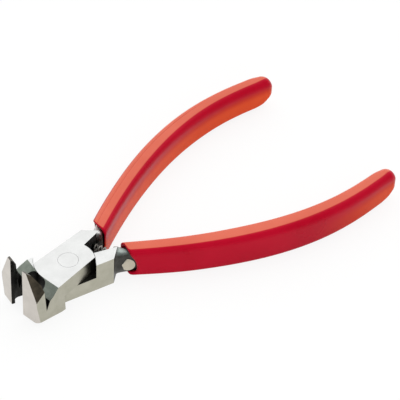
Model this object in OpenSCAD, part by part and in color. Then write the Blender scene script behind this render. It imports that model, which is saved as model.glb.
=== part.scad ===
// End cutting nippers with raised jaws, a lap joint, an opening spring and dipped grips.
// The origin is on the pivot axis at the underside of the head, +X runs to the jaws and +Z along the pivot.
// Each half is drawn with the jaws closed and is then turned open about the pivot.
// In a half's own drawing its handle lies on the +Y side and its jaw on the -Y side.

/* [Head] */
// Thickness of the head
head_t = 10.4; // [8:0.1:14]
// Radius of the lap plates' rims about the pivot, towards the handles
lap_r = 8.3; // [7.6:0.05:9]
// Radius of the upper lap plate's rim towards the jaws
upper_front_r = 10.7; // [9.8:0.05:11.2]
// Radius of the lower lap plate's rim towards the jaws
lower_front_r = 8.1; // [7.6:0.05:9]
// Gap between the two lap plates
lap_gap = 0.1; // [0.05:0.01:0.3]
// Gap between a lap plate's rim and the shoulder around it
rim_gap = 0.15; // [0.1:0.01:0.3]
// Distance from the tool's axis to the head's side, on the handle's side
handle_flank = 6.5; // [6:0.1:8]
// Distance from the tool's axis to the head's top edge at the pivot, on the jaw's side
jaw_flank = 5.6; // [5:0.1:8]
// Lean of the jaw side's face
flank_draft = 4.2; // [0:0.1:8]
// Widening of the jaw side towards the jaws
flank_flare = 4.3; // [0:0.1:6]

/* [Shanks] */
// Distance from the pivot to the shank's rear corner, beside the gap between the shanks
shank_back = 16.2; // [14:0.1:18]
// Distance along the tool's axis over which the shank's slanted back runs
shank_slant = 3.7; // [2:0.1:6]
// Distance across the tool's axis over which it runs
shank_cut = 4.3; // [2:0.1:5]
// Half of the gap between the closed shanks, at the lap plate's rim
crotch_half = 1.2; // [0.8:0.05:1.6]
// Angle at which the gap between the shanks widens
crotch_flare = 8; // [2:0.5:14]
// Distance from the pivot to the tangent shoulder, as an angle round the plate's rim
shoulder_angle = 155; // [140:1:165]

/* [Jaws] */
// Distance from the pivot to the front face and the cutting edge
jaw_front = 19.7; // [18:0.1:24]
// Gap between the cutting edges when the jaws are closed
edge_gap = 0.2; // [0.1:0.05:0.5]
// Turn of each half from closed to open
half_open = 8.3; // [4:0.1:9]
// Distance from the tool's axis to the front face's outer edge
front_w = 6.1; // [4.5:0.05:6.4]
// Narrowing of the jaw towards its front face
jaw_taper = 5.6; // [2:0.1:8]
// Distance from the pivot to the front edge of the head's top face
face_front = 10.7; // [9.8:0.1:11.5]
// Distance from the pivot to the back of the jaw below the lap
jaw_back = 8.3; // [8.25:0.05:9.4]
// Height of the cutting edge's top end above the head's top face
horn_rise = 9; // [4:0.1:12]
// Thickness of the land behind the cutting edge
land_t = 1.2; // [0.8:0.1:2]
// Depth that the top end falls over the land
land_drop = 0.9; // [0:0.1:1.5]
// Thickness of the jaw where its back starts to slope to the land
horn_t = 2.9; // [2:0.1:3.5]
// Depth of that place below the cutting edge's top end
horn_slope_drop = 4.5; // [2:0.1:6]
// Distance from the front face to the bottom of the groove behind the jaw
groove_back = 3.8; // [3:0.1:4.5]
// Depth of the groove below the head's top face
groove_depth = 6.2; // [4:0.1:7.5]
// Distance from the groove's bottom back to the edge of the sloping front facet
facet_run = 1.4; // [0.8:0.1:2]
// Depth of that edge below the head's top face
facet_drop = 2.7; // [1.5:0.1:3.5]
// Depth of the outer end of the front face's slanted edge below the head's top face
bevel_drop = 0.7; // [0:0.1:2]
// Distance that the jaw's slanted facet runs back at the outer side
bevel_run = 2.9; // [2:0.1:3.5]
// Distance that it rises there
bevel_rise = 2.6; // [1:0.1:4]
// Flat at the top end of the cutting edge
tip_flat = 1.8; // [0.4:0.1:2.5]
// Half width and end radius of the slot behind the cutting edges
throat_r = 2.2; // [1.5:0.1:3]
// Upward slope of the jaw's underside
toe_slope = 4.5; // [0:0.5:8]
// Radius of the jaw's lower front edge
toe_r = 0.4; // [0.2:0.1:2]
// Radius of the jaw's outer front corner at the underside
toe_corner_r = 2.2; // [1:0.1:3]
// Height above the underside at which that rounding has run out
toe_corner_h = 8; // [4:0.1:9]

/* [Rivet] */
// Diameter of the rivet's shank
rivet_d = 5; // [4:0.1:6]
// Diameter of the rivet's flush head
rivet_head_d = 6.4; // [6:0.1:8]
// Depth of the rivet's conical head
rivet_head_h = 1.4; // [0.8:0.1:2]
// Radial running clearance of the rivet in the upper half
rivet_clear = 0.05; // [0.02:0.01:0.1]

/* [Handles] */
// Reach of the handle's centre line where it leaves the shank
root_x = 15.35; // [14:0.05:17]
// Distance of that point from the tool's axis
root_y = 2.7; // [2.4:0.05:4]
// Distance from the pivot to the end of the handle's centre line, along the tool's axis
handle_l = 110.7; // [90:0.1:140]
// Distance of that end from the tool's axis, when closed
end_y = 14.5; // [11:0.1:20]
// Share of the handle's length at which the point lies that its front bend leans to
front_bend = 0.633; // [0.54:0.001:0.7]
// Distance of that point from the tool's axis, as a share of the handle's length
front_bow = 0.249; // [0.2:0.001:0.3]
// Share of the handle's length at which the point lies that its back bend leans to
back_bend = 0.854; // [0.76:0.001:0.9]
// Distance of that point from the tool's axis, as a share of the handle's length
back_bow = 0.164; // [0.13:0.001:0.2]
// Width of the steel tang at the head
tang_w = 3.8; // [3:0.1:4.4]
// Width of the tang at its tip
tang_tip_w = 3.2; // [2:0.1:4]
// Height of the tang at the head
tang_h = 9.2; // [7:0.1:10]
// Height of the tang at its tip
tang_tip_h = 8.4; // [6:0.1:10]
// Radius of the tang's long edges
tang_edge_r = 1; // [0.4:0.1:1.4]

/* [Grips] */
// Wall of the dipped grip
grip_wall = 1.05; // [0.6:0.05:1.2]
// Swelling of the grip's wall behind its front end
grip_swell = 0.3; // [0:0.05:0.6]
// Length of the grip's rounded end beyond the tang
grip_end = 3; // [1.5:0.1:5]
// Height that the rounding takes off the grip's end, for each unit that it takes off its width
grip_end_drop = 1.6; // [1:0.1:1.8]
// Distance from the pivot back to the grips' front ends
grip_front = 17.4; // [16:0.1:20]
// Gap between the tang and the grip's inner surface
grip_gap = 0.05; // [0.02:0.01:0.1]

/* [Spring] */
// Outer diameter of the opening spring
spring_d = 3.6; // [3:0.1:4]
// Diameter of its wire
wire_d = 0.65; // [0.4:0.05:0.8]
// Turns of the spring
spring_turns = 7; // [5:0.5:8]
// Clearance around the spring in its bore
spring_clear = 0.25; // [0.15:0.05:0.4]
// Gap between the spring's ends and their seats
spring_seat_gap = 0.1; // [0.05:0.05:0.3]
// Lean of the spring's axis in the lower half, away from square to the tool's axis
spring_lean = 24; // [10:1:30]
// Distance from the pivot to the spring's axis where it leaves the plug, along the tool's axis
plug_x = 17.6; // [16.5:0.1:19]
// Distance of that point from the tool's axis
plug_y = 6.1; // [5.4:0.1:7]
// Length of the plug on its axis
plug_l = 2; // [1:0.1:2.5]
// Lean of the plug's ground face, away from square to the tool's axis
plug_face_lean = -16; // [-25:1:10]
// Upward tilt of the plug's ground face
plug_face_tilt = 12; // [0:1:20]
// Depth of the spring's pocket in the other shank
pocket_depth = 1.2; // [0.6:0.1:2]

/* [Hidden] */

$fn = 64;
STEEL = [0.78, 0.78, 0.76];
DARK_STEEL = [0.45, 0.45, 0.43];
RED = [0.82, 0.2, 0.17];

mid = head_t / 2;
horn_top = head_t + horn_rise;
toe_z = (jaw_front - toe_r - jaw_back) * tan(toe_slope);
groove_x = jaw_front - groove_back;
plug_d = spring_d + 2 * spring_clear;
// A length that reaches past everything it cuts, and the distance that a short cut runs past a face
far = handle_l / 2;
past = 1;

// Points on a round arc
function arc(c, r, a0, a1, n = 8) =
    [for (i = [0 : n]) let (a = a0 + (a1 - a0) * i / n) c + r * [cos(a), sin(a)]];

// The handle's centre line, a cubic curve from 0 at the head to 1 at the tip
HANDLE = [
    [-root_x, root_y],
    [-front_bend * handle_l, front_bow * handle_l],
    [-back_bend * handle_l, back_bow * handle_l],
    [-handle_l, end_y],
];
function on_handle(t) =
    pow(1 - t, 3) * HANDLE[0] + 3 * pow(1 - t, 2) * t * HANDLE[1]
    + 3 * (1 - t) * t * t * HANDLE[2] + pow(t, 3) * HANDLE[3];
function handle_slope(t) =
    3 * pow(1 - t, 2) * (HANDLE[1] - HANDLE[0]) + 6 * (1 - t) * t * (HANDLE[2] - HANDLE[1])
    + 3 * t * t * (HANDLE[3] - HANDLE[2]);
function unit(v) = v / norm(v);
function handle_side(t) = let (d = unit(handle_slope(t))) [d[1], -d[0]];

// Half width and half height of the tang along the handle
function tang_half_w(t) = (tang_w + (tang_tip_w - tang_w) * t) / 2;
function tang_half_h(t) = (tang_h + (tang_tip_h - tang_h) * t) / 2;

// One ring of a rounded rectangle across the handle
CORNER_STEPS = 4;
function ring(t, ahead, w, h, r) =
    let (
        u = unit(handle_slope(t)),
        c = on_handle(t) + ahead * u,
        n = handle_side(t)
    )
    [for (q = [0 : 3], i = [0 : CORNER_STEPS])
        let (
            a = 90 * q + 90 * i / CORNER_STEPS,
            sx = (q == 0 || q == 3) ? 1 : -1,
            sz = (q < 2) ? 1 : -1,
            x = sx * (w - r) + r * cos(a),
            z = sz * (h - r) + r * sin(a)
        )
        [c[0] + n[0] * x, c[1] + n[1] * x, mid + z]];

// A closed solid through a row of rings
module skin(rings) {
    n = len(rings[0]);
    m = len(rings);
    points = [for (k = rings, p = k) p];
    sides = [for (k = [0 : m - 2], i = [0 : n - 1])
        let (
            a = k * n + i,
            b = k * n + (i + 1) % n,
            c = b + n,
            d = a + n
        )
        each [[a, b, c], [a, c, d]]];
    front = [for (i = [1 : n - 2]) [0, i + 1, i]];
    back = [for (i = [1 : n - 2]) let (o = (m - 1) * n) [o, o + i, o + i + 1]];
    polyhedron(points, concat(sides, front, back), convexity = 6);
}

// The tang with its surface moved out by some distance, with a rounded tip
TANG_STEPS = 28;
TIP_STEPS = 4;
// Turn of the tip's last ring from its side to its end
TIP_TURN = 80;
// Places on the handle's centre line where the tang, the neck and the grip's swelling start or end
tang_start = 0.012;
neck_end = 0.03;
swell_end = 0.85;
module tang(out = 0, swell = 0, end = tang_edge_r, drop = 1, start = tang_start) {
    along = [for (i = [0 : TANG_STEPS])
        let (
            t = start + (1 - start) * i / TANG_STEPS,
            o = out + swell * sin(180 * min(1, t / swell_end))
        )
        ring(t, 0, tang_half_w(t) + o, tang_half_h(t) + out, tang_edge_r + out)];
    w = tang_half_w(1) + out;
    h = tang_half_h(1) + out;
    tip = [for (i = [1 : TIP_STEPS])
        let (
            a = TIP_TURN * i / TIP_STEPS,
            inset = min(w, end) * (1 - cos(a))
        )
        ring(1, end * sin(a), w - inset, h - drop * inset, min(tang_edge_r + out, w - inset))];
    skin(concat(along, tip));
}

// The half space on the outer side of the plane through three points
module beyond(p, q, r) {
    n = cross(q - p, r - p);
    translate(p)
        rotate([0, acos(n[2] / norm(n)), atan2(n[1], n[0])])
            translate([-far, -far, 0])
                cube([2 * far, 2 * far, far]);
}

// Plan of the shank behind the joint
module shank_plan() {
    difference() {
        polygon([
            [0, 0],
            [0, handle_flank],
            [shank_slant - shank_back, handle_flank],
            [-shank_back, handle_flank - shank_cut],
            [-shank_back, 0],
        ]);
        translate([-lap_r, crotch_half])
            rotate(-crotch_flare)
                translate([-far, -far])
                    square([2 * far, far]);
    }
}

// The part of a plan that lies towards the jaws
module front_of_pivot() {
    intersection() {
        children();
        translate([0, -far])
            square([far, 2 * far]);
    }
}

// Plan of a lap plate with its rim radius towards the jaws
module plate_plan(front_r) {
    intersection() {
        union() {
            difference() {
                circle(lap_r);
                front_of_pivot()
                    square(2 * far, center = true);
            }
            front_of_pivot()
                circle(front_r);
        }
        translate([-far, -far])
            square([2 * far, far + handle_flank]);
    }
}

// The jaw from the joint to the front face, without the cuts that the lap needs
module jaw() {
    plan = [
        [0, -edge_gap / 2],
        [jaw_front, -edge_gap / 2],
        [jaw_front, -front_w],
        [0, -front_w - jaw_front * tan(jaw_taper)],
    ];
    side = concat(
        [[0, 0], [jaw_back, 0]],
        arc([jaw_front - toe_r, toe_z + toe_r], toe_r, toe_slope - 90, 0),
        [
            [jaw_front, horn_top],
            [jaw_front - land_t, horn_top - land_drop],
            [jaw_front - horn_t, horn_top - horn_slope_drop],
            [groove_x, head_t - groove_depth],
            [groove_x - facet_run, head_t - facet_drop],
            [face_front, head_t],
            [0, head_t],
        ]
    );
    tip = [jaw_front, -tip_flat, horn_top];
    outer = [jaw_front, -front_w, head_t - bevel_drop];
    outer_back = [
        jaw_front - bevel_run,
        -front_w - bevel_run * tan(jaw_taper),
        head_t - bevel_drop + bevel_rise,
    ];
    difference() {
        intersection() {
            linear_extrude(horn_top + 2 * past)
                polygon(plan);
            rotate([90, 0, 0])
                linear_extrude(far)
                    polygon(side);
        }
        beyond(tip, outer_back, outer);
        throat();
        toe_corner();
    }
}

// What is cut off the jaw's outer front corner: a rounding that runs out upwards
// Share of the rounding's size that is left at its top end
CORNER_TOP = 0.02;
module toe_corner() {
    c = [-toe_corner_r, toe_corner_r * (1 - sin(jaw_taper)) / cos(jaw_taper)];
    round = arc(c, toe_corner_r, jaw_taper - 90, 0);
    translate([jaw_front, -front_w, 0])
        linear_extrude(toe_corner_h, scale = CORNER_TOP)
            polygon(concat(round, [
                [past, c[1]],
                [past, -past],
                [round[0][0], -past],
            ]));
}

// The slot between the joint and the lands of the cutting edges
throat_back = upper_front_r + rim_gap;
module throat() {
    translate([0, 0, -past])
        linear_extrude(horn_top + 2 * past) {
            translate([throat_back + throat_r, 0])
                circle(throat_r);
            translate([jaw_front - land_t - throat_r, 0])
                circle(throat_r);
            translate([throat_back + throat_r, -throat_r])
                square([jaw_front - land_t - throat_back - 2 * throat_r, 2 * throat_r]);
        }
}

// The sloping face on the jaw's side of the head
module flank_cut() {
    translate([0, -jaw_flank, head_t])
        rotate([-flank_draft, 0, -flank_flare])
            translate([-far, -far, -far])
                cube([2 * far, far, 2 * far]);
}

// The short neck between the shank and the tang
// Distance that the neck reaches into the shank, and the least distance from it to the tool's axis
neck_reach = 4;
neck_clear = 0.4;
module neck() {
    c = on_handle(neck_end);
    n = handle_side(neck_end) * tang_half_w(neck_end);
    back = on_handle(0) - unit(handle_slope(0)) * neck_reach;
    m = handle_side(0) * tang_half_w(0);
    translate([0, 0, mid - tang_half_h(0)])
        linear_extrude(2 * tang_half_h(0))
            intersection() {
                polygon([c + n, back + m, back - m, c - n]);
                union() {
                    translate([-lap_r, crotch_half])
                        rotate(-crotch_flare)
                            translate([-far, 0])
                                square([2 * far, far]);
                    translate([-far, neck_clear])
                        square([far - shank_back, far]);
                }
            }
}

// The axis of the spring and its plug: +Z of this frame points out through the plug
module on_spring_axis() {
    translate([-plug_x, plug_y, mid])
        rotate([0, 0, spring_lean])
            rotate([-90, 0, 0])
                children();
}

// The bores for the spring, through the lower half's shank and into the upper half's
module spring_bore() {
    on_spring_axis()
        translate([0, 0, -spring_reach])
            cylinder(d = plug_d, h = spring_reach + far / 4);
}

// Distance on the spring's axis from the plug's outer end to the pocket's floor
function turned(p, a) = [p[0] * cos(a) - p[1] * sin(a), p[0] * sin(a) + p[1] * cos(a)];
// The upper shank's inner face in the lower half's drawing, with the jaws open
CROTCH_FACE = turned([-lap_r, -crotch_half], 2 * half_open);
CROTCH_DIR = turned([-cos(crotch_flare), -sin(crotch_flare)], 2 * half_open);
AXIS_DIR = [-sin(spring_lean), cos(spring_lean)];
spring_reach = let (
        d = CROTCH_FACE - [-plug_x, plug_y],
        across = CROTCH_DIR[0] * AXIS_DIR[1] - CROTCH_DIR[1] * AXIS_DIR[0]
    )
    abs((d[0] * CROTCH_DIR[1] - d[1] * CROTCH_DIR[0]) / across) + pocket_depth;

// The bore through a half for the rivet, with its countersink at one face
module rivet_bore(clear, z_head, up) {
    translate([0, 0, -past])
        cylinder(d = rivet_d + 2 * clear, h = head_t + 2 * past);
    translate([0, 0, z_head])
        mirror([0, 0, up ? 1 : 0])
            rivet_head(clear);
}
module rivet_head(clear = 0) {
    rotate_extrude()
        polygon([
            [0, 0],
            [rivet_head_d / 2 + clear, 0],
            [rivet_d / 2 + clear, rivet_head_h],
            [0, rivet_head_h],
        ]);
}

// Everything of a half before the lap, the rivet and the spring are cut
module half_body(plate_z, plate_h, front_r) {
    difference() {
        union() {
            linear_extrude(head_t)
                shank_plan();
            translate([0, 0, plate_z])
                linear_extrude(plate_h)
                    plate_plan(front_r);
            jaw();
        }
        flank_cut();
    }
    neck();
    tang();
}

plate_h = mid - lap_gap / 2;

module lower_half() {
    color(STEEL)
        rotate(-half_open)
            difference() {
                half_body(0, plate_h, lower_front_r);
                // Room for the upper plate
                translate([0, 0, plate_h]) {
                    cylinder(r = lap_r + rim_gap, h = head_t);
                    linear_extrude(head_t)
                        front_of_pivot()
                            circle(upper_front_r + rim_gap);
                    linear_extrude(head_t)
                        polygon([
                            [0, 0],
                            (lap_r + rim_gap) * [cos(shoulder_angle), sin(shoulder_angle)],
                            (lap_r + rim_gap) * [cos(shoulder_angle), sin(shoulder_angle)]
                                + far * [sin(shoulder_angle), -cos(shoulder_angle)],
                            [far, 0],
                        ]);
                }
                rivet_bore(0, 0, false);
                spring_bore();
            }
}

module upper_half() {
    color(STEEL)
        rotate(half_open)
            difference() {
                mirror([0, 1, 0])
                    half_body(head_t - plate_h, plate_h, upper_front_r);
                // Room for the lower plate
                translate([0, 0, -past])
                    cylinder(r = lap_r + rim_gap, h = head_t - plate_h + past);
                translate([0, 0, -past])
                    linear_extrude(head_t - plate_h + past)
                        translate([0, -far])
                            square([jaw_back, 2 * far]);
                rivet_bore(rivet_clear, head_t, true);
                rotate(-2 * half_open)
                    spring_bore();
            }
}

module pivot_rivet() {
    color(STEEL) {
        cylinder(d = rivet_d, h = head_t);
        rivet_head();
        translate([0, 0, head_t])
            mirror([0, 0, 1])
                rivet_head();
    }
}

module spring_plug() {
    color(STEEL)
        rotate(-half_open)
            intersection() {
                on_spring_axis()
                    translate([0, 0, -plug_l])
                        cylinder(d = plug_d, h = 2 * plug_l);
                translate([-plug_x, plug_y, mid])
                    rotate([plug_face_tilt, 0, plug_face_lean])
                        translate([-far, -far, -far])
                            cube([2 * far, far, 2 * far]);
            }
}

// The spring's wire: a helix whose two ends turn to run straight along the axis
WIRE_SIDES = 6;
TURN_STEPS = 8;
coil_r = (spring_d - wire_d) / 2;
spring_l = spring_reach - plug_l - 2 * spring_seat_gap;
pitch = (spring_l - 2 * wire_d) / spring_turns;
coil_count = spring_turns * TURN_STEPS;
COIL = [for (i = [0 : coil_count])
    let (a = 360 * i / TURN_STEPS)
    [coil_r * cos(a), coil_r * sin(a), wire_d + pitch * i / TURN_STEPS]];
WIRE_ENDS = [
    [COIL[0][0], COIL[0][1], 0],
    [COIL[coil_count][0], COIL[coil_count][1], spring_l],
];
WIRE_PATH = concat([WIRE_ENDS[0]], COIL, [WIRE_ENDS[1]]);
function wire_dir(i) =
    i == 0 || i == len(WIRE_PATH) - 1 ? [0, 0, 1]
    : unit(unit(WIRE_PATH[i + 1] - WIRE_PATH[i]) + unit(WIRE_PATH[i] - WIRE_PATH[i - 1]));
function wire_ring(i) =
    let (
        d = wire_dir(i),
        p = WIRE_PATH[i],
        out = unit([p[0], p[1], 0] - d * (d * [p[0], p[1], 0])),
        side = cross(d, out)
    )
    [for (k = [0 : WIRE_SIDES - 1])
        let (a = 360 * k / WIRE_SIDES)
        p + wire_d / 2 * (cos(a) * out + sin(a) * side)];
// The least gap between points of the wire that lie at least half a turn apart
least_gap = min([for (i = [0 : len(COIL) - 1], j = [i + TURN_STEPS / 2 : 1 : len(COIL) - 1])
    norm(COIL[i] - COIL[j])]) - wire_d;
echo(spring_least_gap_mm = least_gap);

module opening_spring() {
    color(DARK_STEEL)
        rotate(-half_open)
            on_spring_axis()
                translate([0, 0, -spring_reach + spring_seat_gap])
                    skin([for (i = [0 : len(WIRE_PATH) - 1]) wire_ring(i)]);
}

// A dipped grip, closed at the tip and cut square to the tool's axis at the front
module grip() {
    intersection() {
        difference() {
            tang(grip_wall, grip_swell, grip_end, grip_end_drop, 0);
            tang(grip_gap, start = 0);
        }
        rotate(half_open)
            translate([-far * 3 - grip_front, -far, -far])
                cube([far * 3, 2 * far, 2 * far]);
    }
}

module grip_near() {
    color(RED)
        rotate(-half_open)
            difference() {
                grip();
                // Scallop round the plug
                on_spring_axis()
                    translate([0, 0, -plug_l])
                        cylinder(d = plug_d + 2 * spring_clear, h = far / 4);
            }
}

module grip_far() {
    color(RED)
        rotate(half_open)
            mirror([0, 1, 0])
                grip();
}

upper_half();
lower_half();
pivot_rivet();
opening_spring();
spring_plug();
grip_near();
grip_far();
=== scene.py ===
"""Looks of the end cutting nippers: steel halves, dipped red grips and a coil spring, on a white table."""
import math

import bmesh
import bpy
import numpy as np
from mathutils import Matrix, Vector


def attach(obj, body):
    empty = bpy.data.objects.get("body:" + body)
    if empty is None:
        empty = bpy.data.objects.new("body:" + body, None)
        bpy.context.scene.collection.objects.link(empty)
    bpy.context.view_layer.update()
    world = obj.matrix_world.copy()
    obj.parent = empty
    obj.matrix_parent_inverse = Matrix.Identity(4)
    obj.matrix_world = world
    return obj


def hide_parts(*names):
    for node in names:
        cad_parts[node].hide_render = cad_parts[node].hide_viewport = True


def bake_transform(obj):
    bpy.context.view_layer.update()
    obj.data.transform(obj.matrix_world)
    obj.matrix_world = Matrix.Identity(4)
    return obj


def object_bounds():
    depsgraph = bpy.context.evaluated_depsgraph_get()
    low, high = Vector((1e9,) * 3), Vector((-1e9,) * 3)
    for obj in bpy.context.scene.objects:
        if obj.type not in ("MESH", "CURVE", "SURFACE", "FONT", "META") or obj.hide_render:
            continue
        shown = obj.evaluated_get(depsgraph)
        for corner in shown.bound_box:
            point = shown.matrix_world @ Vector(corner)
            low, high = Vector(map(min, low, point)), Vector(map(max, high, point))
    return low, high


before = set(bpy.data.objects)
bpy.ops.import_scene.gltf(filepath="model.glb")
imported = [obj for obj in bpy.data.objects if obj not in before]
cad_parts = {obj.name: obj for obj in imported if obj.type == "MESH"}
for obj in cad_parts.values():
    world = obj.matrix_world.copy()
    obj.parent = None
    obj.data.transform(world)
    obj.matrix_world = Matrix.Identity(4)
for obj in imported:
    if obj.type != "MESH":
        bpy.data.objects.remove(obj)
CAD_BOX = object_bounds()

# Sizes in millimetres, angles in degrees, most of them as the part's source names them
MM = 0.001
HEAD_T = 10.4
MID = HEAD_T / 2
HALF_OPEN = 8.3
HANDLE = ((-15.35, 2.7), (-70.07, 27.56), (-94.54, 18.15), (-110.7, 14.5))
TANG_W = (3.8, 3.2)
TANG_H = (9.2, 8.4)
GRIP_WALL = 1.05
GRIP_SWELL = 0.3
GRIP_L = 118.0
GRIP_START = 0.012
GRIP_END = 2.95
GRIP_FRONT = 17.4
TIP_W = 3.1
TIP_TOP = 3.9
TIP_LOW = 8.0
TIP_ROUND = 15.0
NECK_W = 2.0
NECK_H = 4.4
NECK_FILLET = 2.8
NECK_FROM = -1.2
NECK_L = 8.2
SWELL_END = 0.85
SHANK_BACK = 16.2
SHANK_SLANT = 3.7
SHANK_CUT = 4.3
SHANK_CORNER = (-16.11, 2.3)
LAP_R = 8.3
CROTCH_HALF = 1.2
CROTCH_FLARE = 8
HANDLE_FLANK = 6.5
JAW_FRONT = 19.7
HORN_TOP = 19.4
RIVET_HEAD_D = 6.4
RIVET_D = 5.0
SPRING_D = 3.6
WIRE_D = 0.65
SPRING_TURNS = 7
SPRING_LEAN = 24
PLUG_AT = (-17.6, 6.1)
PLUG_TIP = 1.33
PLUG_BLUNT = 0.1
PLUG_SHORT = 0.88
PLUG_RIM = 0.26
EDGE_EASE = 0.16
# The rolled lip of a sleeve, from inside round its front: depth behind the front and height over the skin
LIP = (
    (4.0, -0.75), (1.2, -0.73), (0.25, -0.69), (0.05, -0.59), (0.0, -0.45), (0.04, -0.28), (0.14, -0.14),
    (0.32, -0.05), (0.7, -0.01), (1.4, 0.0),
)
# Length behind the front over which the lip's own line gives way to square sections
LIP_REACH = 9.0
# The near lip: how far it stands back and dips, and how far its lower and upper corners come forward
LIP_BACK = 0.35
LIP_DIP = 1.75
LIP_LOW = 1.5
LIP_HIGH = 0.6
# The far lip: how far it comes forward and dips
LIP_AHEAD_FAR = 0.9
LIP_DIP_FAR = 2.6
# Where painted light lies on the grips' skin: on faces turned towards the light
PAINTED_LIGHT_TOWARDS = (-0.15, -0.33, 0.932)
# The table: half its width in metres, its gap below the part, and its share of plain white
TABLE_HALF = 3.0
TABLE_GAP = 0.05
WHITE_SHARE = 0.86
# The softbox overhead, behind the tool: its direction, the cosines at its soft edge, its level and the room's
BOX_TOWARDS = (-0.47, -0.52, 0.713)
BOX_EDGE = (0.60, 0.76)
BOX_LEVEL = 1.8
ROOM_LEVEL = 0.5


def turn(points, degrees):
    """Points turned about the pivot axis."""
    a = math.radians(degrees)
    p = np.array(points, float)
    out = p.copy()
    out[..., 0] = p[..., 0] * math.cos(a) - p[..., 1] * math.sin(a)
    out[..., 1] = p[..., 0] * math.sin(a) + p[..., 1] * math.cos(a)
    return out


def placed(points, side):
    """Points of a half's closed drawing, with its handle on +Y, carried to where the half lies.

    Side 1 is the lower half and side -1 the upper one.
    """
    p = np.array(points, float)
    if side < 0:
        p = p * (1, -1, 1)
    return turn(p, -side * HALF_OPEN)


def unplaced(points, side):
    """The other way round: points of the part carried to the half's closed drawing."""
    p = turn(points, side * HALF_OPEN)
    if side < 0:
        p = p * (1, -1, 1)
    return p


def on_handle(t):
    """Point and direction of the handle's centre line."""
    a, b, c, d = [np.array(v) for v in HANDLE]
    p = (1 - t) ** 3 * a + 3 * (1 - t) ** 2 * t * b + 3 * (1 - t) * t * t * c + t ** 3 * d
    v = 3 * (1 - t) ** 2 * (b - a) + 6 * (1 - t) * t * (c - b) + 3 * t * t * (d - c)
    return p, v / np.linalg.norm(v)


def smooth(x, low, high):
    """Smooth step from 0 to 1."""
    t = min(1.0, max(0.0, (x - low) / (high - low)))
    return t * t * (3 - 2 * t)


def mesh_object(name, verts, faces, material):
    """A smooth mesh from points in millimetres."""
    mesh = bpy.data.meshes.new(name)
    mesh.from_pydata([tuple(v) for v in np.array(verts) * MM], [], faces)
    mesh.update()
    for p in mesh.polygons:
        p.use_smooth = True
    mesh.materials.append(material)
    obj = bpy.data.objects.new(name, mesh)
    bpy.context.scene.collection.objects.link(obj)
    bm = bmesh.new()
    bm.from_mesh(mesh)
    bmesh.ops.recalc_face_normals(bm, faces=bm.faces)
    bm.to_mesh(mesh)
    bm.free()
    return obj


def skin(rings, close_start=True):
    """Points and faces of a loft through rings of equal counts, closed at its end."""
    n = len(rings[0])
    verts = np.concatenate([np.array(r) for r in rings])
    faces = []
    for k in range(len(rings) - 1):
        for i in range(n):
            j = (i + 1) % n
            faces.append((k * n + i, k * n + j, (k + 1) * n + j, (k + 1) * n + i))
    if close_start:
        faces.append(tuple(range(n)))
    last = (len(rings) - 1) * n
    faces.append(tuple(last + i for i in range(n)))
    return verts, faces


# Materials

def node_adder(tree):
    """A helper that adds a node to a tree, with the values of its settings and inputs."""
    def add(kind, **values):
        node = tree.nodes.new(kind)
        for key, value in values.items():
            if hasattr(node, key):
                setattr(node, key, value)
            else:
                node.inputs[key.replace("_", " ")].default_value = value
        return node
    return add


def node_material(name):
    """A new material with its node tree, shader and a helper for nodes."""
    mat = bpy.data.materials.new(name)
    mat.use_nodes = True
    tree = mat.node_tree
    return mat, tree, tree.nodes["Principled BSDF"], node_adder(tree)


def ramp(tree, source, stops):
    """A colour ramp on a value."""
    node = tree.nodes.new("ShaderNodeValToRGB")
    while len(node.color_ramp.elements) < len(stops):
        node.color_ramp.elements.new(0.5)
    for element, (at, colour) in zip(node.color_ramp.elements, stops):
        element.position = at
        element.color = (*colour, 1)
    tree.links.new(source, node.inputs["Fac"])
    return node.outputs["Color"]


def scaled_coordinates(tree, scale):
    """Object coordinates with their own scale along each axis."""
    coordinates = tree.nodes.new("ShaderNodeTexCoord")
    mapping = tree.nodes.new("ShaderNodeMapping")
    mapping.inputs["Scale"].default_value = scale
    tree.links.new(coordinates.outputs["Object"], mapping.inputs["Vector"])
    return mapping.outputs["Vector"]


def steel(name, light, dark, roughness, grain, grain_scale, spots=0.0):
    """Steel with a fine grinding grain, cloudy tone and, where spots are given, small pits."""
    mat, tree, shader, add = node_material(name)
    link = tree.links.new
    cloud = add("ShaderNodeTexNoise", Scale=260.0, Detail=5.0, Roughness=0.6)
    link(scaled_coordinates(tree, (1, 1, 1)), cloud.inputs["Vector"])
    fine = add("ShaderNodeTexNoise", Scale=1.0, Detail=4.0, Roughness=0.65)
    link(scaled_coordinates(tree, grain_scale), fine.inputs["Vector"])
    link(ramp(tree, cloud.outputs["Fac"], ((0.3, dark), (0.7, light))), shader.inputs["Base Color"])
    rough = add("ShaderNodeMapRange", To_Min=roughness[0], To_Max=roughness[1])
    link(fine.outputs["Fac"], rough.inputs["Value"])
    link(rough.outputs["Result"], shader.inputs["Roughness"])
    bump = add("ShaderNodeBump", Strength=grain, Distance=0.00004)
    link(fine.outputs["Fac"], bump.inputs["Height"])
    if spots:
        pits = add("ShaderNodeTexNoise", Scale=1500.0, Detail=3.0, Roughness=0.7)
        link(scaled_coordinates(tree, (1, 1, 1)), pits.inputs["Vector"])
        second = add("ShaderNodeBump", Strength=spots, Distance=0.0001)
        link(pits.outputs["Fac"], second.inputs["Height"])
        link(bump.outputs["Normal"], second.inputs["Normal"])
        bump = second
    link(bump.outputs["Normal"], shader.inputs["Normal"])
    shader.inputs["Metallic"].default_value = 1.0
    return mat


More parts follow.
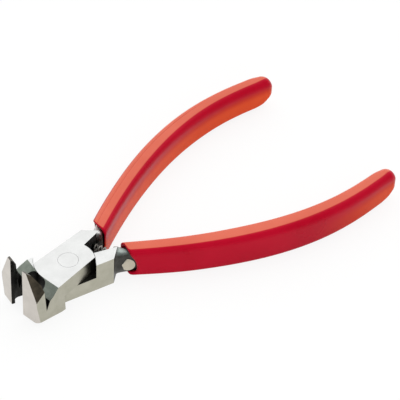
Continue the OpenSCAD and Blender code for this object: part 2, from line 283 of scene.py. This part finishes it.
GROUND = steel(
    "ground_steel", (0.555, 0.56, 0.56), (0.50, 0.505, 0.505), (0.38, 0.52), 0.2, (500, 9000, 9000)
)
# The flank, front, facet and bevel steels are the same ground steel as the top, each toned for the way its
# faces point: painted light and reflection over real grain in its own direction
FLANK = steel("flank_steel", (0.49, 0.475, 0.395), (0.40, 0.39, 0.31), (0.26, 0.40), 0.25, (9000, 900, 9000))
FRONT = steel("front_steel", (0.66, 0.62, 0.57), (0.58, 0.545, 0.50), (0.26, 0.40), 0.25, (900, 9000, 9000))
FACET = steel(
    "facet_steel", (0.45, 0.495, 0.435), (0.20, 0.235, 0.20), (0.3, 0.48), 0.35, (9000, 700, 9000), 0.2
)
BEVEL = steel(
    "bevel_steel", (0.12, 0.10, 0.072), (0.034, 0.03, 0.023), (0.26, 0.42), 0.35, (6000, 900, 6000), 0.3
)
DARK = steel(
    "dark_steel", (0.035, 0.034, 0.03), (0.012, 0.012, 0.011), (0.45, 0.65), 0.3, (3000, 3000, 3000), 0.3
)
PIN = steel("pin_steel", (0.60, 0.55, 0.45), (0.50, 0.46, 0.37), (0.28, 0.42), 0.3, (4000, 4000, 600))
# The rim steel is lighter than steel can be: a painted highlight on the plug's real ground rim
RIM_HIGHLIGHT = steel("rim_steel_highlight", (0.86, 0.83, 0.75), (0.76, 0.73, 0.65), (0.32, 0.46), 0.3, (4000, 4000, 600))
WIRE = steel("wire_steel", (0.28, 0.265, 0.24), (0.16, 0.15, 0.135), (0.22, 0.36), 0.2, (3000, 3000, 3000))


def scale_with_painted_top_light(name, top_low, top_high, edge):
    """Dark forging scale, lighter where it faces up from one share of upwards to another: painted top light,
    broken up by a random cloud.
    """
    mat = steel(name, (0.10, 0.098, 0.09), (0.04, 0.04, 0.036), (0.34, 0.52), 0.3, (2500, 2500, 2500), 0.5)
    tree = mat.node_tree
    shader = tree.nodes["Principled BSDF"]
    scale = shader.inputs["Base Color"].links[0].from_socket
    cloud = scale.node.inputs["Fac"].links[0].from_socket
    bright = ramp(tree, cloud, ((0.3, top_low), (0.7, top_high)))
    add = node_adder(tree)
    link = tree.links.new
    shape = add("ShaderNodeNewGeometry")
    split = add("ShaderNodeSeparateXYZ")
    link(shape.outputs["Normal"], split.inputs["Vector"])
    # Faces turned up take the lighter tones: painted top light, made patchy by the cloud
    patchy = add("ShaderNodeMath", operation="MULTIPLY_ADD")
    patchy.inputs[1].default_value = 0.5
    link(cloud, patchy.inputs[0])
    link(split.outputs["Z"], patchy.inputs[2])
    facing = add("ShaderNodeMapRange", interpolation_type="SMOOTHSTEP", From_Min=edge[0], From_Max=edge[1])
    link(patchy.outputs[0], facing.inputs["Value"])
    mix = add("ShaderNodeMix", data_type="RGBA")
    link(facing.outputs["Result"], mix.inputs["Factor"])
    link(scale, mix.inputs["A"])
    link(bright, mix.inputs["B"])
    link(mix.outputs["Result"], shader.inputs["Base Color"])
    return mat


FORGED = scale_with_painted_top_light("forged_steel", (0.17, 0.20, 0.19), (0.29, 0.33, 0.315), (0.66, 1.05))
# The far neck's copy is far lighter than the near one: a painted highlight
FORGED_FAR_LIT = scale_with_painted_top_light("forged_steel_far_lit", (0.44, 0.44, 0.43), (0.64, 0.63, 0.62), (0.40, 0.90))


def painted_bounce_factor(tree, add, shape):
    """A factor for painted bounce light on the grips, which grows down their inner sides and towards their
    ends.
    """
    link = tree.links.new
    coordinates = add("ShaderNodeTexCoord")
    place = add("ShaderNodeSeparateXYZ")
    link(coordinates.outputs["Object"], place.inputs["Vector"])
    normal = add("ShaderNodeSeparateXYZ")
    link(shape.outputs["Normal"], normal.inputs["Vector"])
    which = add("ShaderNodeMath", operation="SIGN")
    link(place.outputs["Y"], which.inputs[0])
    outward = add("ShaderNodeMath", operation="MULTIPLY")
    link(normal.outputs["Y"], outward.inputs[0])
    link(which.outputs[0], outward.inputs[1])
    sideways = add("ShaderNodeMapRange", interpolation_type="SMOOTHSTEP", From_Min=-0.45, From_Max=-0.8)
    link(outward.outputs[0], sideways.inputs["Value"])
    down = add(
        "ShaderNodeMapRange", interpolation_type="SMOOTHSTEP",
        From_Min=(MID + 3.6) * MM, From_Max=(MID - 1.0) * MM, To_Max=0.85,
    )
    link(place.outputs["Z"], down.inputs["Value"])
    ends = add(
        "ShaderNodeMapRange", interpolation_type="SMOOTHSTEP",
        From_Min=-70 * MM, From_Max=-105 * MM, To_Max=0.9,
    )
    link(place.outputs["X"], ends.inputs["Value"])
    most = add("ShaderNodeMath", operation="MAXIMUM")
    link(sideways.outputs["Result"], most.inputs[0])
    link(ends.outputs["Result"], most.inputs[1])
    both = add("ShaderNodeMath", operation="MULTIPLY")
    link(most.outputs[0], both.inputs[0])
    link(down.outputs["Result"], both.inputs[1])
    return both.outputs[0]


def skin_with_painted_light(tree, add, shape, slow, deep, painted_bounce_mask):
    """The grips' colour outside: orange where painted bounce light lies, and paler where it faces the light,
    a painted highlight.
    """
    link = tree.links.new
    warm = add("ShaderNodeMix", data_type="RGBA")
    link(painted_bounce_mask, warm.inputs["Factor"])
    link(deep, warm.inputs["A"])
    # The orange of the painted bounce light
    link(ramp(tree, slow, ((0.3, (0.74, 0.090, 0.022)), (0.7, (0.78, 0.106, 0.028)))), warm.inputs["B"])
    towards = add("ShaderNodeVectorMath", operation="DOT_PRODUCT")
    towards.inputs[1].default_value = PAINTED_LIGHT_TOWARDS
    link(shape.outputs["Normal"], towards.inputs[0])
    upward = add("ShaderNodeMapRange", interpolation_type="SMOOTHSTEP", From_Min=0.80, From_Max=0.90)
    link(towards.outputs["Value"], upward.inputs["Value"])
    mix = add("ShaderNodeMix", data_type="RGBA")
    link(upward.outputs["Result"], mix.inputs["Factor"])
    link(warm.outputs["Result"], mix.inputs["A"])
    # The paler colour towards the light: a painted highlight
    link(ramp(tree, slow, ((0.3, (0.63, 0.12, 0.07)), (0.7, (0.68, 0.145, 0.088)))), mix.inputs["B"])
    return mix.outputs["Result"]


def plastic(name, with_painted_light):
    """Dipped red plastic with a soft gloss and faint orange peel, with painted light outside or deep red
    inside.
    """
    mat, tree, shader, add = node_material(name)
    link = tree.links.new
    slow = add("ShaderNodeTexNoise", Scale=70.0, Detail=3.0, Roughness=0.55)
    link(scaled_coordinates(tree, (1, 1, 1)), slow.inputs["Vector"])
    colour = ramp(tree, slow.outputs["Fac"], ((0.3, (0.44, 0.0012, 0.016)), (0.7, (0.49, 0.0025, 0.021))))
    shape = add("ShaderNodeNewGeometry")
    painted_bounce_mask = painted_bounce_factor(tree, add, shape)
    # Outside, painted light: orange bounce low on the inner sides and towards the ends, and a paler top
    # towards the light
    if with_painted_light:
        colour = skin_with_painted_light(tree, add, shape, slow.outputs["Fac"], colour, painted_bounce_mask)
    link(colour, shader.inputs["Base Color"])
    # Less gloss where the painted bounce light lies
    gloss = add("ShaderNodeMapRange", From_Max=0.45, To_Min=0.15, To_Max=0.05)
    link(painted_bounce_mask, gloss.inputs["Value"])
    link(gloss.outputs["Result"], shader.inputs["Specular IOR Level"])
    rough = add("ShaderNodeMapRange", To_Min=0.24, To_Max=0.34)
    link(slow.outputs["Fac"], rough.inputs["Value"])
    link(rough.outputs["Result"], shader.inputs["Roughness"])
    peel = add("ShaderNodeTexNoise", Scale=900.0, Detail=2.0, Roughness=0.5)
    link(scaled_coordinates(tree, (1, 1, 1)), peel.inputs["Vector"])
    bump = add("ShaderNodeBump", Strength=0.08, Distance=0.0001)
    link(peel.outputs["Fac"], bump.inputs["Height"])
    link(bump.outputs["Normal"], shader.inputs["Normal"])
    shader.inputs["Specular Tint"].default_value = (1.0, 0.4, 0.5, 1)
    return mat


RED = plastic("grip_plastic", True)
RED_INSIDE = plastic("grip_plastic_inside", False)


# The two forgings

# How near points are welded, in metres, and how nearly faces are level to be joined
WELD = 2e-6
FLAT_WITHIN = math.radians(0.5)
SLANT_NORMAL = np.array((-SHANK_CUT, SHANK_SLANT, 0)) / math.hypot(SHANK_CUT, SHANK_SLANT)
HALF_MATERIALS = (GROUND, DARK, FACET, BEVEL, FORGED, FLANK, FRONT)
IS_GROUND, IS_DARK, IS_FACET, IS_BEVEL, IS_FORGED, IS_FLANK, IS_FRONT = range(7)


def finish_of(p, n):
    """Which finish a face of a half has, from its centre and normal in the half's closed drawing; tones set
    by the way a face points are painted light and reflection.
    """
    x, y, z = p
    # The shank's slanted back
    if n @ SLANT_NORMAL > 0.95 and x < -8:
        return IS_FORGED
    # The head's top and the rivet's seat in it, then the underside
    if (n[2] > 0.98 and z > HEAD_T - 0.2) or (math.hypot(x, y) < RIVET_HEAD_D / 2 and z > MID):
        return IS_GROUND
    if n[2] < -0.9 and z < 2.6:
        return IS_GROUND
    # The horn's bevel, the jaw's front, the facet before the head's top and the jaw's side
    if x > 16 and n[0] > 0.3 and n[1] < -0.7 and n[2] > 0.3:
        return IS_BEVEL
    if n[0] > 0.3 and x > JAW_FRONT - 0.7 and n[2] < 0.3:
        return IS_FRONT
    if 10 < x < 15.2 and n[0] > 0.4 and n[2] > 0.75:
        return IS_FACET
    if n[1] < -0.85 and y < -4.3:
        return IS_FLANK
    # The land on the horn's top and the shank's side
    if n[2] > 0.5 and z > HORN_TOP - 1.2:
        return IS_BEVEL
    if y > HANDLE_FLANK - 0.2 and n[1] > 0.9:
        return IS_FLANK
    return IS_DARK


def trim(bm, point, normal):
    """Cuts off what lies on the normal's side of a plane and closes the cut."""
    cut = bmesh.ops.bisect_plane(
        bm, geom=bm.verts[:] + bm.edges[:] + bm.faces[:], dist=1e-7,
        plane_co=point, plane_no=normal, clear_outer=True,
    )
    edges = [g for g in cut["geom_cut"] if isinstance(g, bmesh.types.BMEdge)]
    bmesh.ops.contextual_create(bm, geom=edges)


def cut_behind(bm, side):
    """Drops the neck and tang behind the shank's slanted back, and closes the shank there."""
    point = placed((-SHANK_BACK + SHANK_SLANT, HANDLE_FLANK, 0), side) * MM
    normal = placed((*SLANT_NORMAL[:2], 0), side)
    trim(bm, point + normal * 2e-6, normal)
    trim(bm, placed((-SHANK_BACK - 0.02, 0, 0), side) * MM, placed((-1, 0, 0), side))
    for v in bm.verts:
        x, y, z = unplaced(np.array(v.co) / MM, side)
        if x < -12.5 and y < CROTCH_HALF - (x + LAP_R) * math.tan(math.radians(CROTCH_FLARE)) - 0.02:
            v.co = Vector(placed((*SHANK_CORNER, z), side) * MM)


def dressed_half(node, body, side):
    """A copy of a half with flat faces joined, edges eased and a finish on each face."""
    mesh = bpy.data.meshes.new(node + "_dressed")
    for material in HALF_MATERIALS:
        mesh.materials.append(material)
    bm = bmesh.new()
    bm.from_mesh(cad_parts[node].data)
    bmesh.ops.remove_doubles(bm, verts=bm.verts, dist=WELD)
    cut_behind(bm, side)
    bmesh.ops.dissolve_limit(bm, angle_limit=FLAT_WITHIN, verts=bm.verts, edges=bm.edges)
    bm.normal_update()
    for face in bm.faces:
        centre = unplaced(np.array(face.calc_center_median()) / MM, side)
        normal = unplaced(np.array(face.normal), side)
        face.material_index = finish_of(centre, normal)
    eased = [
        e for e in bm.edges
        if len(e.link_faces) == 2
        and e.calc_face_angle(0) > math.radians(24)
        and e.is_convex
        and any(f.material_index not in (IS_DARK, IS_FORGED) for f in e.link_faces)
        and e.calc_length() > 0.00025
        and max(v.co.xy.length for v in e.verts) > (RIVET_HEAD_D / 2 + 0.1) * MM
    ]
    bmesh.ops.bevel(
        bm, geom=eased, offset=EDGE_EASE * MM, offset_type="OFFSET", segments=2, profile=0.5,
        affect="EDGES", clamp_overlap=True, material=-1,
    )
    bm.to_mesh(mesh)
    bm.free()
    for p in mesh.polygons:
        p.use_smooth = True
    obj = bpy.data.objects.new(node + "_dressed", mesh)
    bpy.context.scene.collection.objects.link(obj)
    mesh.set_sharp_from_angle(angle=math.radians(32))
    weighted = obj.modifiers.new("even_normals", "WEIGHTED_NORMAL")
    weighted.keep_sharp = True
    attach(obj, body)
    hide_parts(node)


dressed_half("lower_half", "lower", 1)
dressed_half("upper_half", "upper", -1)


# Necks between the shanks and the grips

RING_STEPS = 48
SIDE_STEPS = 10
NECK_STEPS = 96
NECK_RINGS = 40


def section(half_w, half_h, corners):
    """A rounded rectangle, as offsets across the handle's line and up, with the radii of its corners."""
    out = []
    quarter = RING_STEPS // 4
    for q, corner in enumerate(corners):
        sx = 1 if q in (0, 3) else -1
        sz = 1 if q < 2 else -1
        corner = min(corner, half_w - 0.02, half_h - 0.02)
        for i in range(quarter):
            a = math.radians(90 * q + 90 * (i + 0.5) / quarter)
            out.append((
                sx * (half_w - corner) + corner * math.cos(a),
                sz * (half_h - corner) + corner * math.sin(a),
            ))
    return np.array(out)


def handle_ring(t, offsets, ahead=0.0):
    """A section's points in the half's closed drawing, where positive offsets lead away from the axis."""
    p, d = on_handle(t)
    p = p + d * ahead
    out = np.array((-d[1], d[0]))
    if out[1] < 0:
        out = -out
    return np.array([(p[0] + out[0] * a, p[1] + out[1] * a, MID + b) for a, b in offsets])


def neck_ring(half_w, half_h, outer, inner):
    """A neck's section: an oval, fuller above and on its outer side, with the forging's thin flash ridge."""
    out = []
    for i in range(NECK_STEPS):
        a = 2 * math.pi * i / NECK_STEPS
        power = 2 / (3.0 if math.sin(a) > 0 else 2.3)
        x = half_w * math.copysign(abs(math.cos(a)) ** power, math.cos(a))
        z = half_h * math.copysign(abs(math.sin(a)) ** power, math.sin(a))
        x += math.copysign(0.12, x) * max(0.0, 1 - abs(z) / 0.5)
        x *= 1 + (outer if x > 0 else inner) / half_w
        out.append((x, z))
    return out


def spring_axis():
    """The plug's place and the direction along the spring out through the plug, in the part's frame."""
    a = math.radians(SPRING_LEAN)
    at = placed((PLUG_AT[0], PLUG_AT[1], MID), 1)
    out = turn((-math.sin(a), math.cos(a), 0), -HALF_OPEN)
    return at, out


def plug_face():
    """Centre and normal of the plug's ground end, in the part's frame."""
    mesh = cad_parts["spring_plug"].data
    out = spring_axis()[1]
    ends = [p for p in mesh.polygons if np.array(p.normal) @ out > 0.5]
    share = np.array([p.area for p in ends])
    centre = (np.array([p.center for p in ends]) * share[:, None]).sum(0) / share.sum() / MM
    normal = (np.array([p.normal for p in ends]) * share[:, None]).sum(0)
    return centre, normal / np.linalg.norm(normal)


def neck(name, body, side):
    """The dark forged bar between the shank and the grip, with a hollow round where it leaves the shank."""
    rings = []
    flat = np.array((SLANT_NORMAL[1], -SLANT_NORMAL[0]))
    for k in range(NECK_RINGS + 1):
        s = NECK_FROM + NECK_L * k / NECK_RINGS
        rise = min(1.0, max(0.0, 1 - s / NECK_FILLET))
        fillet = 1 - math.sqrt(max(0.0, 1 - rise * rise))
        p, d = on_handle(0.0)
        p = p + d * (s + 0.33)
        straight = np.array((d[1], -d[0]))
        across = straight * smooth(s, 0.0, 4.0) + flat * (1 - smooth(s, 0.0, 4.0))
        across = across / np.linalg.norm(across)
        if across[1] < 0:
            across = -across
        outer = 0.5 * (1 - smooth(s, 1.5, 4.5)) if side > 0 else 0.0
        ring = np.array([
            (p[0] + across[0] * x, p[1] + across[1] * x, MID + z)
            for x, z in neck_ring(NECK_W, NECK_H + 0.75 * fillet, outer + 0.9 * fillet, 0.2 * fillet)
        ])
        ring = placed(ring, side)
        if side > 0:
            centre, normal = plug_face()
            proud = np.maximum(0, (ring - centre) @ normal + 0.04)
            back = placed((across[0], across[1], 0), 1)
            near = np.linalg.norm(ring - centre, axis=1) < 3.6
            ring = ring - np.outer(proud * near / (normal @ back), back)
        rings.append(ring)
    verts, faces = skin(rings)
    # The far neck takes the lighter copy of the scale, a painted highlight
    obj = mesh_object(name, verts, faces, FORGED if side > 0 else FORGED_FAR_LIT)
    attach(obj, body)


neck("neck_near", "lower", 1)
neck("neck_far", "upper", -1)


# Dipped grips

BODY_RINGS = 110
TAIL_RINGS = 10
# Where the last ring lies, as a share of the round end
LAST_RING = 0.997


def grip_section(w, h, corners, waist, line):
    """A grip's section: a flat top with a thin line along it, bulging sides and rounded corners."""
    ring = section(w, h, corners)
    ring[:, 0] = ring[:, 0] * (1 - waist * (ring[:, 1] / h) ** 2)
    quarter = RING_STEPS // 4
    first, last = ring[quarter - 1], ring[quarter]
    top = [
        first + (last - first) * along - (0, line * deep)
        for along, deep in ((0.15, 0), (0.22, 0.2), (0.25, 1), (0.28, 0.2), (0.35, 0))
    ]
    shares = np.arange(1, SIDE_STEPS)[:, None] / SIDE_STEPS
    inner, outer = [
        ring[start] + (ring[end] - ring[start]) * shares
        for start, end in ((2 * quarter - 1, 2 * quarter), (-1, 0))
    ]
    return np.concatenate(
        (ring[:quarter], top, ring[quarter:2 * quarter], inner, ring[2 * quarter:], outer)
    )


def grip(name, node, body, side):
    """A dipped sleeve: a thin rolled lip, a body that turns from boxy to oval, and a round end."""
    lip_end = LIP[-1][0]
    body_steps = [lip_end + (GRIP_L - lip_end) * (k / BODY_RINGS) for k in range(1, BODY_RINGS + 1)]
    tail = [GRIP_L + GRIP_END * math.sin(math.radians(90 * k / TAIL_RINGS)) for k in range(1, TAIL_RINGS)]
    tail.append(GRIP_L + GRIP_END * LAST_RING)
    rings = []
    for depth, rolled in LIP + tuple((d, 0.0) for d in body_steps + tail):
        t = GRIP_START + (1 - GRIP_START) * min(1.0, depth / GRIP_L)
        past = max(0.0, depth - GRIP_L)
        w = (TANG_W[0] + (TANG_W[1] - TANG_W[0]) * t) / 2 + GRIP_WALL
        h = (TANG_H[0] + (TANG_H[1] - TANG_H[0]) * t) / 2 + GRIP_WALL
        w = w + GRIP_SWELL * math.sin(math.pi * min(1.0, t / SWELL_END)) + rolled
        w = w + 0.15 * smooth(t, 0.6, 0.9)
        h = h + rolled
        left = GRIP_L + GRIP_END - depth
        round_w, round_top, round_low = [
            math.sqrt(1 - (1 - min(1.0, left / tip)) ** 2) for tip in (TIP_W, TIP_TOP, TIP_LOW)
        ]
        oval = 1 - smooth(left, 0.0, TIP_ROUND)
        radii = (
            1.8 + 0.6 * smooth(t, 0.1, 0.6),
            1.6 - 0.4 * smooth(t, 0.1, 0.3),
            1.0 + 0.5 * smooth(t, 0.4, 1.0),
        )
        near_edge, far_edge, below = [(radius + (w - radius) * oval) * round_w for radius in radii]
        corners = (near_edge, far_edge, below, below) if side > 0 else (far_edge, near_edge, below, below)
        waist = 0.02 + 0.05 * smooth(t, 0.2, 1.0)
        line = 0.06 * (1 - smooth(t, 0.45, 0.75)) if side < 0 else 0.0
        offsets = grip_section(w * round_w, h * round_top, corners, waist, line)
        # How far the underside lies above that of the plain section
        if side > 0:
            lift = 0.5 * (1 - smooth(t, 0.0, 0.4)) + 0.65 * (1 - smooth(t, 0.0, 0.15))
            lift = lift - 0.14 * math.sin(math.pi * t)
        else:
            lift = 0.1 + 0.22 * smooth(t, 0.15, 0.4) * (1 - smooth(t, 0.7, 0.95))
        offsets[:, 1] *= np.where(offsets[:, 1] < 0, (1 - lift / h) * round_low / round_top, 1)
        ring = handle_ring(t, offsets, past)
        d = on_handle(t)[1]
        fade = max(0.0, 1 - depth / LIP_REACH) ** 1.5
        if fade > 0:
            opened = placed(ring, 1)
            dir_open = turn((d[0], d[1], 0), -HALF_OPEN)
            front = -GRIP_FRONT + depth * dir_open[0]
            shift = (front - opened[:, 0]) / dir_open[0]
            if side > 0:
                outward = np.clip((offsets[:, 0] + 1) / 2, 0, 1)
                dip = np.clip(1 - ((offsets[:, 1] + 1.5) / 4.5) ** 2, 0, 1)
                low = np.clip((offsets[:, 1] / offsets[:, 1].min() - 0.74) / 0.26, 0, 1)
                high = np.clip((offsets[:, 1] / offsets[:, 1].max() - 0.45) / 0.35, 0, 1)
                corners_ahead = LIP_LOW * low + LIP_HIGH * high
                shift = shift + LIP_BACK + ((LIP_DIP - LIP_BACK) * dip - corners_ahead) * outward
            else:
                outward = np.clip((offsets[:, 0] + 0.5) / 3, 0, 1)
                dip = np.clip(1 - ((offsets[:, 1] + 0.5) / 5.8) ** 2, 0, 1)
                shift = shift - LIP_AHEAD_FAR + LIP_DIP_FAR * dip * outward
            ring = ring + np.outer(shift * fade, (d[0], d[1], 0))
        rings.append(placed(ring, side))
    verts, faces = skin(rings, close_start=False)
    obj = mesh_object(name, verts, faces, RED)
    obj.data.materials.append(RED_INSIDE)
    for p in obj.data.polygons[:4 * len(rings[0])]:
        p.material_index = 1
    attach(obj, body)
    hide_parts(node)


grip("sleeve_near", "grip_near", "lower", 1)
grip("sleeve_far", "grip_far", "upper", -1)


# Rivet, plug and spring

def turned_piece(name, profile, steps, material):
    """A solid of revolution about Z from (radius, height) points."""
    angles = [2 * math.pi * i / steps for i in range(steps)]
    rings = [[(r * math.cos(a), r * math.sin(a), z) for a in angles] for r, z in profile]
    verts, faces = skin(rings)
    return mesh_object(name, verts, faces, material)


def rivet():
    """The rivet, flush with the head on both sides, with a slightly eased rim."""
    r, ease = RIVET_HEAD_D / 2, 0.03
    profile = [
        (0.02, 0), (r - 0.35, 0), (r - ease, 0.0), (r - 0.02, 0.02), (r - 0.04, 0.14), (RIVET_D / 2, 1.4),
        (RIVET_D / 2, HEAD_T - 1.4), (r - 0.04, HEAD_T - 0.14), (r - 0.02, HEAD_T - 0.02), (r - ease, HEAD_T),
        (r - 0.35, HEAD_T), (0.02, HEAD_T),
    ]
    obj = turned_piece("rivet_dressed", profile, 72, GROUND)
    obj.data.set_sharp_from_angle(angle=math.radians(40))
    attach(obj, "lower")
    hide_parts("pivot_rivet")


def axis_frame(out):
    """Directions across the spring's axis: sideways and up."""
    up = np.array((0.0, 0.0, 1.0))
    return np.cross(up, out), up


def spring():
    """The coil spring, wound as the solid is."""
    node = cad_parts["opening_spring"].data
    points = np.array([v.co for v in node.vertices]) / MM
    at, out = spring_axis()
    side, up = axis_frame(out)
    along = (points - at) @ out
    start, end = along.min(), along.max()
    length = end - start
    radius = (SPRING_D - WIRE_D) / 2
    pitch = (length - 2 * WIRE_D) / SPRING_TURNS
    first = points[np.argmin(along)]
    spin = math.atan2(float((first - at) @ up), float((first - at) @ side))
    steps, sides = 28, 12
    sign = coil_hand(points, at, out, side, up, start, pitch, spin)
    path = []
    for k in range(5):
        path.append((spin, WIRE_D * k / 5))
    for k in range(SPRING_TURNS * steps + 1):
        path.append((spin + sign * 2 * math.pi * k / steps, WIRE_D + pitch * k / steps))
    last = path[-1][0]
    for k in range(1, 6):
        path.append((last, length - WIRE_D + WIRE_D * k / 5))
    line = np.array([
        at + out * (start + s) + radius * (math.cos(a) * side + math.sin(a) * up) for a, s in path
    ])
    flow = np.gradient(line, axis=0)
    for _ in range(2):
        flow[1:-1] = (flow[:-2] + 2 * flow[1:-1] + flow[2:]) / 4
    rings = []
    for p, d in zip(line, flow):
        d = d / np.linalg.norm(d)
        away = p - at
        away = away - out * (away @ out)
        away = away - d * (away @ d)
        away = away / np.linalg.norm(away)
        other = np.cross(d, away)
        rings.append([
            p + WIRE_D / 2 * (math.cos(b) * away + math.sin(b) * other)
            for b in (2 * math.pi * i / sides for i in range(sides))
        ])
    verts, faces = skin(rings)
    obj = mesh_object("spring_dressed", verts, faces, WIRE)
    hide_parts("opening_spring")
    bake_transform(obj)


def coil_hand(points, at, out, side, up, start, pitch, spin):
    """Which way the coil winds: the sign whose helix lies nearer to the solid's points."""
    along = (points - at) @ out - start
    angle = np.arctan2((points - at) @ up, (points - at) @ side)
    inner = (along > 2 * WIRE_D) & (along < along.max() - 2 * WIRE_D)
    turns = 2 * math.pi * (along[inner] - WIRE_D) / pitch

    def miss(sign):
        return np.abs(np.angle(np.exp(1j * (angle[inner] - spin - sign * turns)))).mean()
    return 1 if miss(1) < miss(-1) else -1


def plug():
    """The spring's plug: the solid cut to a teardrop on its front side, with a ground rim whose lighter steel
    is a painted highlight.
    """
    mesh = bpy.data.meshes.new("plug_dressed")
    mesh.materials.append(PIN)
    mesh.materials.append(RIM_HIGHLIGHT)
    bm = bmesh.new()
    bm.from_mesh(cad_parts["spring_plug"].data)
    bmesh.ops.remove_doubles(bm, verts=bm.verts, dist=WELD)
    bmesh.ops.dissolve_limit(bm, angle_limit=FLAT_WITHIN, verts=bm.verts, edges=bm.edges)
    at, out = spring_axis()
    side, up = axis_frame(out)
    # The teardrop's upper and lower slopes and its blunt tip
    for slope, further in ((0.95, PLUG_BLUNT), (-0.3, PLUG_BLUNT), (0.0, 0.0)):
        normal = -side + slope * up
        trim(bm, (at - side * (PLUG_TIP + further)) * MM, normal / np.linalg.norm(normal))
    for v in bm.verts:
        along = (np.array(v.co) / MM - at) @ side + PLUG_TIP
        v.co -= Vector(side * along * (1 - PLUG_SHORT) * MM)
    rim = [e for e in bm.edges if len(e.link_faces) == 2 and e.calc_face_angle(0) > math.radians(30)]
    bmesh.ops.bevel(
        bm, geom=rim, offset=PLUG_RIM * MM, offset_type="OFFSET", segments=3, profile=0.5,
        affect="EDGES", clamp_overlap=True, material=1,
    )
    bm.to_mesh(mesh)
    bm.free()
    for p in mesh.polygons:
        p.use_smooth = True
    mesh.set_sharp_from_angle(angle=math.radians(35))
    obj = bpy.data.objects.new("plug_dressed", mesh)
    bpy.context.scene.collection.objects.link(obj)
    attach(obj, "lower")
    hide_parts("spring_plug")


rivet()
spring()
plug()


# Table, light and camera

def table():
    """A pale table that the camera and mirrors see as mostly white, with a light shadow left on it."""
    mesh = bpy.data.meshes.new("table")
    z = CAD_BOX[0].z - TABLE_GAP * MM
    corners = [(x * TABLE_HALF, y * TABLE_HALF, z) for x, y in ((-1, -1), (1, -1), (1, 1), (-1, 1))]
    mesh.from_pydata(corners, [], [(0, 1, 2, 3)])
    obj = bpy.data.objects.new("table", mesh)
    bpy.context.scene.collection.objects.link(obj)
    mat, tree, shader, add = node_material("table_white")
    shader.inputs["Base Color"].default_value = (0.92, 0.92, 0.915, 1)
    shader.inputs["Roughness"].default_value = 0.9
    shader.inputs["Specular IOR Level"].default_value = 0.0
    white = add("ShaderNodeEmission")
    white.inputs["Color"].default_value = (1, 1, 1, 1)
    path = add("ShaderNodeLightPath")
    seen = add("ShaderNodeMath", operation="ADD")
    tree.links.new(path.outputs["Is Camera Ray"], seen.inputs[0])
    tree.links.new(path.outputs["Is Glossy Ray"], seen.inputs[1])
    more = add("ShaderNodeMath", operation="ADD")
    tree.links.new(seen.outputs[0], more.inputs[0])
    tree.links.new(path.outputs["Is Transmission Ray"], more.inputs[1])
    share = add("ShaderNodeMath", operation="MULTIPLY")
    share.inputs[1].default_value = WHITE_SHARE
    tree.links.new(more.outputs[0], share.inputs[0])
    mix = add("ShaderNodeMixShader")
    tree.links.new(share.outputs[0], mix.inputs["Fac"])
    tree.links.new(shader.outputs["BSDF"], mix.inputs[1])
    tree.links.new(white.outputs["Emission"], mix.inputs[2])
    tree.links.new(mix.outputs["Shader"], tree.nodes["Material Output"].inputs["Surface"])
    mesh.materials.append(mat)


def area(name, place, target, size, power):
    """A rectangular lamp that faces a point."""
    data = bpy.data.lights.new(name, "AREA")
    data.shape = "RECTANGLE"
    data.size, data.size_y = size
    data.energy = power
    obj = bpy.data.objects.new(name, data)
    obj.location = place
    obj.rotation_euler = (Vector(target) - Vector(place)).to_track_quat("-Z", "Y").to_euler()
    bpy.context.scene.collection.objects.link(obj)
    return obj


def softbox_room():
    """A dim room with one large softbox overhead, behind the tool."""
    world = bpy.data.worlds.new("room")
    world.use_nodes = True
    tree = world.node_tree
    add = node_adder(tree)
    coordinates = add("ShaderNodeTexCoord")
    towards = add("ShaderNodeVectorMath", operation="DOT_PRODUCT")
    towards.inputs[1].default_value = BOX_TOWARDS
    tree.links.new(coordinates.outputs["Generated"], towards.inputs[0])
    rise = add(
        "ShaderNodeMapRange", interpolation_type="SMOOTHSTEP",
        From_Min=BOX_EDGE[0], From_Max=BOX_EDGE[1], To_Min=ROOM_LEVEL, To_Max=BOX_LEVEL,
    )
    tree.links.new(towards.outputs["Value"], rise.inputs["Value"])
    back = tree.nodes["Background"]
    back.inputs["Color"].default_value = (1.0, 1.0, 0.99, 1)
    tree.links.new(rise.outputs["Result"], back.inputs["Strength"])
    bpy.context.scene.world = world


def studio():
    """The room's light and a weak fill lamp on the camera's side, which mirrors don't show."""
    softbox_room()
    fill = area("fill", (0.45, 0.75, 0.7), (-0.045, 0, 0), (0.9, 0.9), 4.0)
    fill.visible_glossy = False


# The camera's place in metres and its directions to the right, up and forward
EYE = (0.266903, 0.354344, 0.436156)
RIGHT = (-0.76341, 0.64486, 0.03687)
UP = (-0.41146, -0.52952, 0.74183)
FORWARD = (-0.4979, -0.55115, -0.66958)


def camera():
    """The camera at the photograph's angle."""
    data = bpy.data.cameras.new("camera")
    data.sensor_width = 36
    data.lens = 180
    data.clip_start = 0.01
    obj = bpy.data.objects.new("camera", data)
    rotation = Matrix((RIGHT, UP, [-v for v in FORWARD])).transposed()
    obj.matrix_world = Matrix.Translation(EYE) @ rotation.to_4x4()
    bpy.context.scene.collection.objects.link(obj)
    bpy.context.scene.camera = obj


table()
studio()
camera()
bpy.context.scene.view_settings.view_transform = "Standard"
